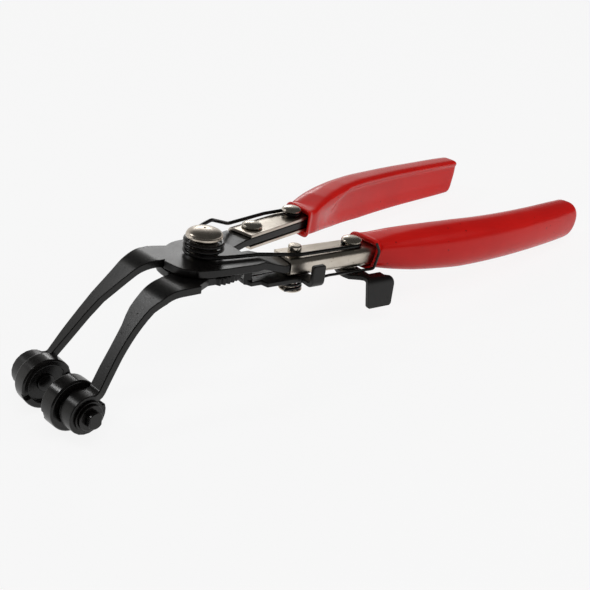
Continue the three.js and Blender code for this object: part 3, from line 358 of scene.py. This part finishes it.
# The pivot's nickel is darkened by painted shade to tone down its brightly lit dome.
pivot_nickel = nickel("pivot_nickel", shine=0.17, painted_dimming=0.3)
dome_base, dome_top = head_rim + 0.05, head_rim + dome_rise
pivot_profile = [
    (0, tail_bottom), (tail_radius - tail_chamfer[0], tail_bottom),
    (tail_radius, tail_bottom + tail_chamfer[1]), (tail_radius, tail_top),
    (shank_radius, tail_top), (shank_radius, head_bottom),
    (head_radius - rim_ease, head_bottom), (head_radius, head_bottom + rim_ease),
    (head_radius, head_rim - 0.12),
    *dome(head_radius - dome_inset, dome_base, dome_top - dome_base),
    (pip_radius, dome_top - 0.02), (pip_floor_radius, dome_top - pip_depth + 0.05),
    (0, dome_top - pip_depth),
]
finished(
    "pivot_rivet_turned", turned(pivot_profile, ease=0.1), pivot_nickel, "upper", "pivot_rivet",
    sharp=50,
)
washer = turned(ring_section(washer_bore, washer_radius, washer_bottom, washer_top), ease=0.1)
finished("pivot_washer_ring", washer, pivot_nickel, "upper", "pivot_washer")


# Opening spring. Black oxidised music wire, 1.45 mm thick, wound two and three eighths turns round the
# pivot rivet, with one leg hooked round each rear rivet.
handle_angle, handle_offset = 0.151, 8.0
near_level, far_level = -1.1, -0.2
wire_size, coil_radius, coil_turns, coil_pitch = 1.45, 6.7, 2.375, 1.9
coil_start, coil_low, steps_in_a_turn, run_in_steps = -1.815, 4.075, 40, 6
rear_rivet_at, pawl_pin_at, leg_height = 60.8, 34.1, 3.825
hook_radius, hook_sweep = 3.425, 4.6


def on_handle(side, along, out, height=0.0):
    """A place on a handle: distance along it, distance outwards from its middle line, height."""
    c, s = math.cos(handle_angle), math.sin(handle_angle)
    reach = out + handle_offset
    return Vector((along * c - reach * s, side * (along * s + reach * c), height))


def wound(centre, radius, start, sweep, low, rise=0.0, steps=18):
    """Places along wire that is wound round a centre, from an angle on; rise is how far it climbs."""
    places = []
    for i in range(steps + 1):
        turn = start + sweep * i / steps
        across = Vector((radius * math.cos(turn), radius * math.sin(turn), 0))
        places.append(Vector((centre.x, centre.y, low + rise * i / steps)) + across)
    return places


def bent(route, bend=1.6):
    """The route of a wire with each corner wider than a few degrees turned into a small bend."""
    nearly_straight, share_of_a_leg, pull_inwards, bend_steps = math.radians(12), 0.45, 0.25, 6
    path = [route[0]]
    for before, here, after in zip(route, route[1:], route[2:]):
        back, on = before - here, after - here
        if back.angle(-on) < nearly_straight:
            path.append(here)
            continue
        reach = min(bend, back.length * share_of_a_leg, on.length * share_of_a_leg)
        start, end = here + back.normalized() * reach, here + on.normalized() * reach
        middle = here.lerp((start + end) / 2, pull_inwards)
        path += interpolate_bezier(start, middle, middle, end, bend_steps)
    return path + [route[-1]]


def wire(name, route, thickness):
    """Round wire along a route, as a mesh."""
    line = bpy.data.curves.new(name + "_line", "CURVE")
    line.dimensions = "3D"
    line.bevel_depth = thickness / 2
    line.bevel_resolution = 5
    line.use_fill_caps = True
    spline = line.splines.new("POLY")
    spline.points.add(len(route) - 1)
    for point, place in zip(spline.points, route):
        point.co = (*place, 1)
    drawn = bpy.data.objects.new(name + "_line", line)
    data = bpy.data.meshes.new_from_object(drawn)
    mesh = bmesh.new()
    mesh.from_mesh(data)
    bmesh.ops.remove_doubles(mesh, verts=mesh.verts, dist=1e-3)
    bmesh.ops.recalc_face_normals(mesh, faces=mesh.faces)
    bmesh.ops.transform(mesh, matrix=in_place, verts=mesh.verts)
    bpy.data.objects.remove(drawn)
    bpy.data.curves.remove(line)
    bpy.data.meshes.remove(data)
    return mesh


near_rear, far_rear = on_handle(-1, rear_rivet_at, 0), on_handle(1, rear_rivet_at, 0)
near_leg, far_leg = near_level + leg_height, far_level + leg_height
coil_sweep, coil_rise = -2 * math.pi * coil_turns, coil_pitch * coil_turns
crest = coil_low + coil_rise
outwards = math.pi / 2 + handle_angle
pivot_axis = Vector((0, 0, 0))
coil_steps = round(coil_turns * steps_in_a_turn)
coil = wound(pivot_axis, coil_radius, coil_start, coil_sweep, coil_low, coil_rise, coil_steps)
run_in = (coil[0] - coil[1]) * run_in_steps
run_in.z = 0
main_route = [
    *wound(near_rear, hook_radius, hook_sweep - outwards, -hook_sweep, near_leg),
    on_handle(-1, pawl_pin_at, 3.7, near_leg + 0.15),
    on_handle(-1, 17.5, 0.9, coil_low),
    coil[0] + run_in,
    *coil,
    on_handle(1, 10.5, 2.5, crest),
    on_handle(1, 15.9, 3.2, crest + 0.4),
    on_handle(1, 29.2, 6.3, far_leg),
    on_handle(1, 50.0, 5.6, far_leg),
    *wound(far_rear, hook_radius, outwards, -hook_sweep, far_leg),
]
wire_oxide = black_oxide("wire_black_oxide", shine=0.12, grain=0.12)
opening_spring = wire("opening_spring", bent(main_route), wire_size)
main_spring = finished("opening_spring_wire", opening_spring, wire_oxide, None, "main_spring")
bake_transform(main_spring)


# Channels. Each handle is a trough pressed from 1.2 mm strip and nickel plated, open towards the other
# handle; the rolling marks run along it.
channel_ease, rolling_marks = 0.00016, (0.05, 1, 1)
for node, body, side in (("near_channel", "upper", -1), ("far_channel", "lower", 1)):
    # The channels' nickel is darkened a little by painted shade.
    channel_nickel = nickel(node + "_nickel", -side * handle_angle, rolling_marks, shine=0.22, painted_dimming=0.15)
    trough = pressed(node, channel_ease, sharp=50)
    even_faces(finished(node + "_trough", trough, channel_nickel, body, node, sharp=45))


# Handle rivets. Nickel plated, with low domed heads and short upset tails; they hold the channels
# on the levers' tangs, and the two rear ones carry the spring's hooks.
rivet_radius, rivet_head_radius, rivet_head_height = 2.4, 4.1, 1.9
rivet_tail_radius, rivet_tail_height, rivet_rim = 3.4, 1.1, 0.35
rear_seat, front_seat, front_rivet_at = 4.7, 3.25, 36.2
near_tail_seat, far_tail_seat, front_tail_seat = -9.47, -3.53, -3.47
rivet_nickel = nickel("rivet_nickel", shine=0.14)
handle_rivets = (
    ("near_rear_rivet", "upper", near_rear, near_level + rear_seat, near_tail_seat),
    ("far_rear_rivet", "lower", far_rear, far_level + rear_seat, far_tail_seat),
    ("far_front_rivet", "lower", on_handle(1, front_rivet_at, 0), far_level + front_seat, front_tail_seat),
)
for node, body, place, top, low in handle_rivets:
    tail = low - rivet_tail_height
    profile = [
        (0, tail), (rivet_tail_radius - 0.2, tail), (rivet_tail_radius, tail + 0.3),
        (rivet_tail_radius, low), (rivet_radius, low), (rivet_radius, top),
        (rivet_head_radius - 0.25, top), (rivet_head_radius, top + 0.2),
        *dome(rivet_head_radius - 0.05, top + rivet_rim, rivet_head_height - rivet_rim, steps=10)[1:],
        (0, top + rivet_head_height),
    ]
    head = turned(profile, ease=0.08, at=(place.x, place.y), steps=64)
    finished(node + "_head", head, rivet_nickel, body, node, sharp=50)


# Ratchet pawl. Pressed from 1.9 mm strip with its thumb tab bent up, black oxide finished, on a
# shouldered nickel plated pin; a small torsion spring under it runs back and up past the grip's mouth.
pawl_ease = 0.0004
pin_radius, pin_head_radius, pin_head_low, pin_head_top = 1.9, 4.4, -12.4, -11.52
post_radius, post_low, post_top = 2.5, 2.15, 5.45
pawl_wire, pawl_coil_radius, pawl_coil_pitch, pawl_coil_turns = 1.1, 3.8, 1.42, 2
pawl_coil_low, pawl_coil_steps, pawl_spring_tail = -10.671, 64, 5.2
pawl_oxide = black_oxide("pawl_black_oxide", shine=0.25, grain=0.8)
even_faces(finished("pawl_plate", pressed("pawl", pawl_ease), pawl_oxide, "pawl", "pawl"))
pin_place = on_handle(-1, pawl_pin_at, 0)
pin_profile = [
    (0, pin_head_low), (pin_head_radius - 0.6, pin_head_low), (pin_head_radius, pin_head_low + 0.4),
    (pin_head_radius, pin_head_top), (pin_radius, pin_head_top), (pin_radius, post_low),
    (post_radius, post_low), (post_radius, post_top - 0.45), (post_radius - 0.4, post_top), (0, post_top),
]
pin = turned(pin_profile, ease=0.12, at=(pin_place.x, pin_place.y), steps=64)
finished("pawl_pin_turned", pin, rivet_nickel, "upper", "pawl_pin", sharp=50)
pawl_coil_rise = pawl_coil_pitch * pawl_coil_turns
pawl_route = [
    on_handle(-1, pawl_pin_at - pawl_spring_tail, pawl_coil_radius, pawl_coil_low),
    *wound(
        pin_place, pawl_coil_radius, -outwards, 2 * math.pi * pawl_coil_turns,
        pawl_coil_low, pawl_coil_rise, pawl_coil_steps,
    ),
    on_handle(-1, 40.4, 4.9, pawl_coil_low + pawl_coil_rise),
    on_handle(-1, 46.0, 6.85, -5.784),
    on_handle(-1, 61.6, 7.2, -5.9),
    on_handle(-1, 66.4, 8.7, -5.3),
    on_handle(-1, 68.0, 8.75, 1.6),
    on_handle(-1, 66.2, 8.5, 5.0),
]
pawl_spring = wire("pawl_spring", bent(pawl_route, bend=1.3), pawl_wire)
finished("pawl_spring_wire", pawl_spring, wire_oxide, "upper", "pawl_spring")


# Release lever. Black oxide finished strip on the near rear rivet, with its tab bent down;
# a plain turned spacer keeps it off the channel.
release_ease = 0.00028
spacer_bore, spacer_radius, spacer_low, spacer_top = 2.7, 3.2, -7.07, -5.57
release_oxide = black_oxide("release_black_oxide", shine=0.36, grain=1.2)
release = pressed("release_lever", release_ease)
even_faces(finished("release_lever_plate", release, release_oxide, "release", "release_lever"))
spacer_section = ring_section(spacer_bore, spacer_radius, spacer_low, spacer_top)
spacer = turned(spacer_section, ease=0.06, at=(near_rear.x, near_rear.y), steps=64)
finished("release_spacer_ring", spacer, rivet_nickel, "upper", "release_spacer")


# Swivel jaws. Turned from bar and black oxide finished: a dished face with a cross slot for the clamp's
# ear, a collar and a shank in the lever's eye, kept by a pin with a flatted tail and by a spring clip.
eased_by = {"swivel_jaw": 0.00025, "swivel_pin": 0.0002, "retaining_clip": 0.00006}
jaw_oxide = black_oxide("jaw_black_oxide", shine=0.11, grain=0.45)
for side in ("far", "near"):
    body = side + "_jaw"
    for part, ease in eased_by.items():
        node = f"{side}_{part}"
        even_faces(finished(node + "_fine", pressed(node, ease), jaw_oxide, body, node))


# Grips. Each channel is dipped in red vinyl: a rolled lip at the slanted mouth, a hollow between the
# channel's two flanges on the inner side, soft corners, and a small drip at the end.
handle_end, straight_end, lead_in, line_steps = (187.5, 34.6), 68.6, 20, 240
kick_turn, kick_reach, tail_turn, tail_reach = 0.4, 30.0, -0.015, 63.0
grip_end, curve_length = 189.9, 123.0
ring_points = 72

# Rows of distance behind the bend's start, half height, half width, how square the section is, and how
# far the near and the far grip hang below their handles
grip_sizes = (
    (-8, 5.2, 7.2, 4.2, 0, 0),
    (0, 5.3, 7.2, 4.0, 0, 0),
    (5, 6.3, 7.3, 3.5, 0, 0),
    (11, 7.4, 7.45, 3.0, 0, 0),
    (20, 8.5, 7.6, 2.6, 0.1, 0.15),
    (30, 9.2, 7.65, 2.35, 0.2, 0.3),
    (44, 9.75, 7.65, 2.25, 0.5, 0.8),
    (59, 9.55, 7.45, 2.25, 0.6, 1.1),
    (74, 9.35, 7.25, 2.25, 0.6, 1.2),
    (91, 9.05, 7.05, 2.3, 0.5, 1.3),
    (107, 8.75, 6.85, 2.4, 0.3, 1.2),
    (119, 8.45, 6.45, 2.5, 0.2, 1.1),
    (130, 8.35, 6.25, 2.5, 0.2, 1.1),
)
bore_half_high, bore_half_wide, bore_square = 3.4, 6.42, 9.0

# The hollow grows to its full depth over one stretch and loses a share of it over another. Rows of distance
# behind the bend's start and its upper and lower edge there, as shares of the half height
hollow_depth, hollow_grows, hollow_fades, hollow_loss = 2.4, (-2, 26), (95, 128), 0.4
hollow_edges = (
    (-2, -0.02, -0.16),
    (3, 0.08, -0.26),
    (13, 0.32, -0.62),
    (24, 0.7, -0.8),
    (33, 0.9, -0.86),
    (75, 0.92, -0.9),
    (110, 0.92, -0.9),
)
hollow_upper_slope, hollow_floor_end, hollow_lower_power = 0.42, -0.3, 1.4
lower_corner = 1.55

# Rows of distance behind the mouth and how far the skin stands out there: inside the mouth, then on the lip
mouth_inside = ((9.0, 0.0), (2.2, 0.0), (0.9, 0.05), (0.2, 0.35))
mouth_lip = ((-0.25, 0.0), (-0.15, 0.4), (0.25, 0.62), (0.8, 0.62), (1.3, 0.42), (1.8, 0.2))
lip_length, slant_fades = 2.6, (2, 16)
fine_step, coarse_step, fine_as_far_as = 1.2, 2.4, 40

# The end leans and bows a little, and its corner is rounded. Rows of the drip: distance past the end, size
end_taper, end_bow, least_gap = (12.0, 9.6, 7.6, 6.0, 4.6, 3.4), 0.03, 0.4
end_round, end_round_degrees = 2.6, (10, 25, 40, 55, 70, 83)
end_lean, end_lean_from, bow_level = 0.25, 0.8, -1.0
drip_out, drip_rise = 2.4, 2.0
drip = ((0.1, 0.42), (0.2, 0.3), (0.5, 0.2), (0.9, 0.13), (1.1, 0.06))


def red_vinyl():
    """Glossy dipped vinyl, with a faint orange peel and specks of dust under its skin."""
    red, deep_red, dusty = (0.93, 0.016, 0.012), (0.82, 0.012, 0.010), (0.20, 0.006, 0.006)
    skin = Finish("dipped_red_vinyl")
    cloud = skin.noise(45, detail=3, rough=0.5)
    peel = skin.noise(420, detail=2, rough=0.5)
    grit = skin.noise(1700, detail=2, rough=0.5)
    dust = skin.noise(640, detail=1, rough=0.3).band(0.77, 0.80)
    colour = skin.blend(cloud.band(0.3, 0.7), red, deep_red)
    colour = skin.blend(dust * 0.6, colour, dusty)
    rough = 0.15 + cloud * 0.06 + peel * 0.04 + grit * 0.04
    bumps = skin.bump(peel * 0.8 + grit * 0.2, strength=0.06, depth=0.0001)
    return skin.shade(Base_Color=colour, Roughness=rough, Normal=bumps, IOR=1.37)


def handle_line(side):
    """The middle line of a handle: rows of distance along it, place and direction."""
    start = on_handle(side, straight_end, 0)
    end = Vector((handle_end[0], side * handle_end[1], 0))
    first = start + kick_reach * Vector((math.cos(kick_turn), side * math.sin(kick_turn), 0))
    second = end - tail_reach * Vector((math.cos(tail_turn), side * math.sin(tail_turn), 0))
    straight = [on_handle(side, straight_end - lead_in + i, 0) for i in range(lead_in)]
    places = straight + interpolate_bezier(start, first, second, end, line_steps)
    rows, travelled = [], straight_end - lead_in
    for i, place in enumerate(places):
        if i:
            travelled += (place - places[i - 1]).length
        lead = places[min(i + 1, len(places) - 1)] - places[max(i - 1, 0)]
        rows.append((travelled, place, lead.normalized()))
    return rows


def on_line(rows, distance):
    """Place and direction at a distance along a handle, straight past its ends."""
    if distance >= rows[-1][0]:
        return rows[-1][1] + rows[-1][2] * (distance - rows[-1][0]), rows[-1][2]
    for one, other in zip(rows, rows[1:]):
        if one[0] <= distance < other[0]:
            share = (distance - one[0]) / (other[0] - one[0])
            return one[1].lerp(other[1], share), one[2].lerp(other[2], share).normalized()
    return rows[0][1], rows[0][2]


def step(value, low, high):
    """A smooth step from 0 at low to 1 at high."""
    share = min(max((value - low) / (high - low), 0), 1)
    return share * share * (3 - 2 * share)


def row_at(rows, value):
    """Straight steps between the rows of a table, by its first column."""
    if value <= rows[0][0]:
        return rows[0][1:]
    for one, other in zip(rows, rows[1:]):
        if value <= other[0]:
            share = (value - one[0]) / (other[0] - one[0])
            return [a + (b - a) * share for a, b in zip(one[1:], other[1:])]
    return rows[-1][1:]


def sunk(share):
    """How deep the hollow is across its height, from its lower edge at -1 to its upper edge at 1."""
    if abs(share) >= 1:
        return 0.0
    if share > 0:
        return step(1 - share, 0, hollow_upper_slope)
    down = (hollow_floor_end - share) / (1 + hollow_floor_end)
    return 1 - max(down, 0) ** hollow_lower_power


class DippedGrip:
    """The skin of a grip, ring by ring from inside its mouth to the drip at its end."""

    def __init__(self, side, level, mouth, belly, upper_corner):
        self.side, self.level, self.belly, self.upper_corner = side, level, belly, upper_corner
        self.mouth_at, self.slant, self.tilt = mouth
        self.line = handle_line(side)
        self.mesh = bmesh.new()
        self.rings = []

    def ring(
        self, distance, extra=0.0, sizes=None, rise=0.0, out=0.0, shrink=1.0, depth=0.0, lean=0.0, bow=0.0
    ):
        """One ring of the skin, across the handle at a distance along it.

        It stands out by extra, is moved up and outwards by rise and out, and is sunk by depth on its
        inner side. It leans as the mouth does, by the share lean, and its upper part bows back by bow.
        """
        past = distance - straight_end
        half_high, half_wide, square, *sags = sizes or row_at(grip_sizes, past)
        level = self.level + rise - sags[0 if self.side < 0 else 1]
        place, direction = on_line(self.line, distance)
        across = Vector((-self.side * direction.y, self.side * direction.x, 0))
        top_edge, low_edge = row_at(hollow_edges, past)
        middle, reach = (top_edge + low_edge) / 2 * half_high, (top_edge - low_edge) / 2 * half_high
        leaning = end_lean * min(max(past / curve_length - end_lean_from, 0) / (1 - end_lean_from), 1)
        made = bmesh.ops.create_circle(self.mesh, segments=ring_points, radius=1.0, cap_ends=False)
        for vert in made["verts"]:
            c, s = vert.co.x, vert.co.y
            inner_corner = self.upper_corner if s > 0 else lower_corner
            power = 2 / (square if c >= 0 else square * inner_corner)
            u = math.copysign(abs(c) ** power, c) * (half_wide + extra) * shrink
            v = math.copysign(abs(s) ** power, s) * (half_high + extra) * shrink
            if depth and u < 0:
                u += depth * sunk((v - middle) / reach)
            u += out
            ahead = (self.slant * u + self.tilt * v) * lean - bow * (v - bow_level) ** 2 + leaning * v
            vert.co = place + across * u + direction * ahead + Vector((0, 0, level + v))
        self.rings.append({edge for vert in made["verts"] for edge in vert.link_edges})

    def body_ring(self, distance, extra=0.0, lean=0.0, bow=0.0):
        """A ring with the hollow on its inner side."""
        past = distance - straight_end
        depth = hollow_depth * step(past, *hollow_grows) * (1 - hollow_loss * step(past, *hollow_fades))
        self.ring(distance, extra, lean=lean, bow=bow, depth=depth)

    def mouth(self):
        bore = (bore_half_high + self.belly / 2, bore_half_wide, bore_square, 0, 0)
        for back, extra in mouth_inside:
            self.ring(self.mouth_at + back, extra, bore, rise=-self.belly / 2, lean=1.0)
        for back, extra in mouth_lip:
            self.ring(self.mouth_at + back, extra, lean=1.0)

    def body(self):
        back = lip_length
        while self.mouth_at + back < grip_end - end_taper[0] - least_gap:
            self.body_ring(self.mouth_at + back, lean=1 - step(back, *slant_fades))
            back += fine_step if back < fine_as_far_as else coarse_step

    def end(self):
        rows = [(left, 0.0) for left in end_taper]
        for turn in map(math.radians, end_round_degrees):
            rows.append((end_round * (1 - math.sin(turn)), end_round * (math.cos(turn) - 1)))
        for left, extra in rows:
            self.body_ring(grip_end - left, extra, bow=end_bow * (1 - left / end_taper[0]))
        for past_end, size in drip:
            self.ring(grip_end + past_end, rise=drip_rise, out=drip_out, shrink=size)

    def skin(self):
        self.mouth()
        self.body()
        self.end()
        for one, other in zip(self.rings, self.rings[1:]):
            bmesh.ops.bridge_loops(self.mesh, edges=list(one | other))
        for rim in (self.rings[-1], self.rings[0]):
            bmesh.ops.contextual_create(self.mesh, geom=list(rim))
        bmesh.ops.recalc_face_normals(self.mesh, faces=self.mesh.faces)
        bmesh.ops.transform(self.mesh, matrix=in_place, verts=self.mesh.verts)
        return self.mesh


vinyl = red_vinyl()

# Each grip's side, level, mouth (place, slant and tilt), how far its channel hangs down inside it, and
# how much squarer its upper inner corner is than the outer ones
dipped = (
    ("near_grip", "upper", -1, near_level, (66.0, 0.17, 0.26), 1.3, 1.3),
    ("far_grip", "lower", 1, far_level, (64.9, 0.25, 0.06), 0.1, 2.2),
)
for node, body, side, level, mouth, belly, upper_corner in dipped:
    skin = DippedGrip(side, level, mouth, belly, upper_corner).skin()
    grip = finished(node + "_skin", skin, vinyl, body, node, sharp=75)
    smooth = grip.modifiers.new("even skin", "SUBSURF")
    smooth.levels = smooth.render_levels = 1
